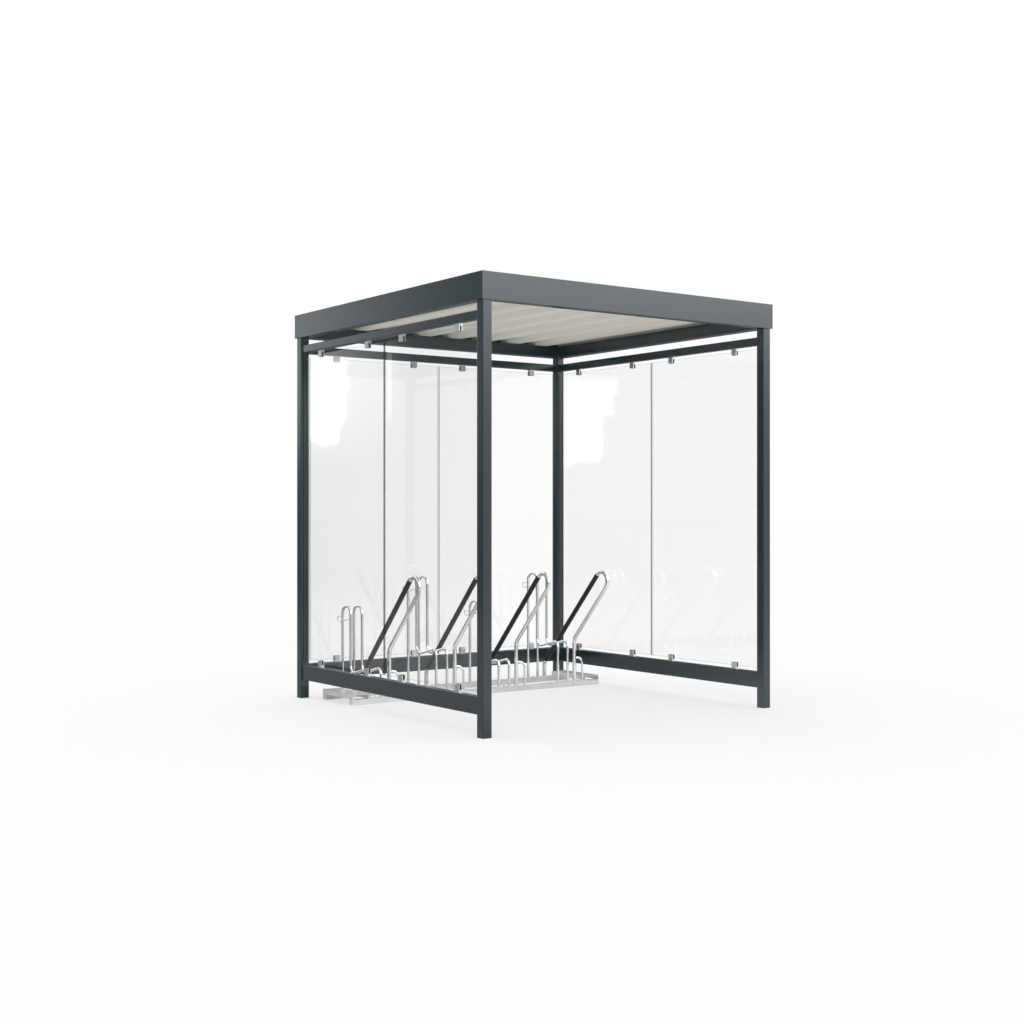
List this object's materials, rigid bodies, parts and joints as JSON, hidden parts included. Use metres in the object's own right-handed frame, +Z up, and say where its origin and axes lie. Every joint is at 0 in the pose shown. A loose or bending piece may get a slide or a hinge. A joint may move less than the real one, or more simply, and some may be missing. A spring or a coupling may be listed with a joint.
{
  "type": "bike shelter with glass walls and bike rack",
  "caption": "Open-fronted bike shelter: square steel posts, flat roof behind a deep fascia, clamped glass walls on three sides and a high-low bike rack inside.",
  "frame": {"origin": "centre of the plan of the four posts, on the ground", "axes": "+Z up, +X to the right seen from the open front, +Y towards the closed back"},
  "size_m": [2.18, 2.18, 2.5],
  "materials": {
    "paint": "satin powder coat, anthracite",
    "roof_sheet": "satin coil coat, grey white",
    "glass": "clear toughened glass",
    "clamp_steel": "satin stainless steel",
    "galvanised": "hot-dip galvanised steel",
    "rubber": "black EPDM rubber",
    "sleeve": "matt black sleeve"
  },
  "bodies": {
    "root": {"post_front_left": "paint", "post_front_right": "paint", "post_back_left": "paint", "post_back_right": "paint", "beam_front": "paint", "beam_back": "paint", "beam_left": "paint", "beam_right": "paint", "fascia_front": "paint", "fascia_back": "paint", "fascia_left": "paint", "fascia_right": "paint", "roof_sheet": "roof_sheet", "rail_top_left": "paint", "rail_top_back": "paint", "rail_top_right": "paint", "rail_bottom_left": "paint", "rail_bottom_back": "paint", "rail_bottom_right": "paint", "glass_left_front": "glass", "glass_left_back": "glass", "glass_back_left": "glass", "glass_back_right": "glass", "glass_right_front": "glass", "glass_right_back": "glass", "clamps_left": "clamp_steel", "clamps_back": "clamp_steel", "clamps_right": "clamp_steel", "pads_left": "rubber", "pads_back": "rubber", "pads_right": "rubber", "rack_rail_front": "galvanised", "rack_rail_back": "galvanised", "rack_cross_left": "galvanised", "rack_cross_right": "galvanised", "wheel_holder_1": "galvanised", "wheel_holder_2": "galvanised", "wheel_holder_3": "galvanised", "wheel_holder_4": "galvanised", "lean_hoop_1": "galvanised", "lean_hoop_2": "galvanised", "lean_hoop_3": "galvanised", "lean_hoop_4": "galvanised", "lean_grip_1": "sleeve", "lean_grip_2": "sleeve", "lean_grip_3": "sleeve", "lean_grip_4": "sleeve"}
  },
  "joints": []
}
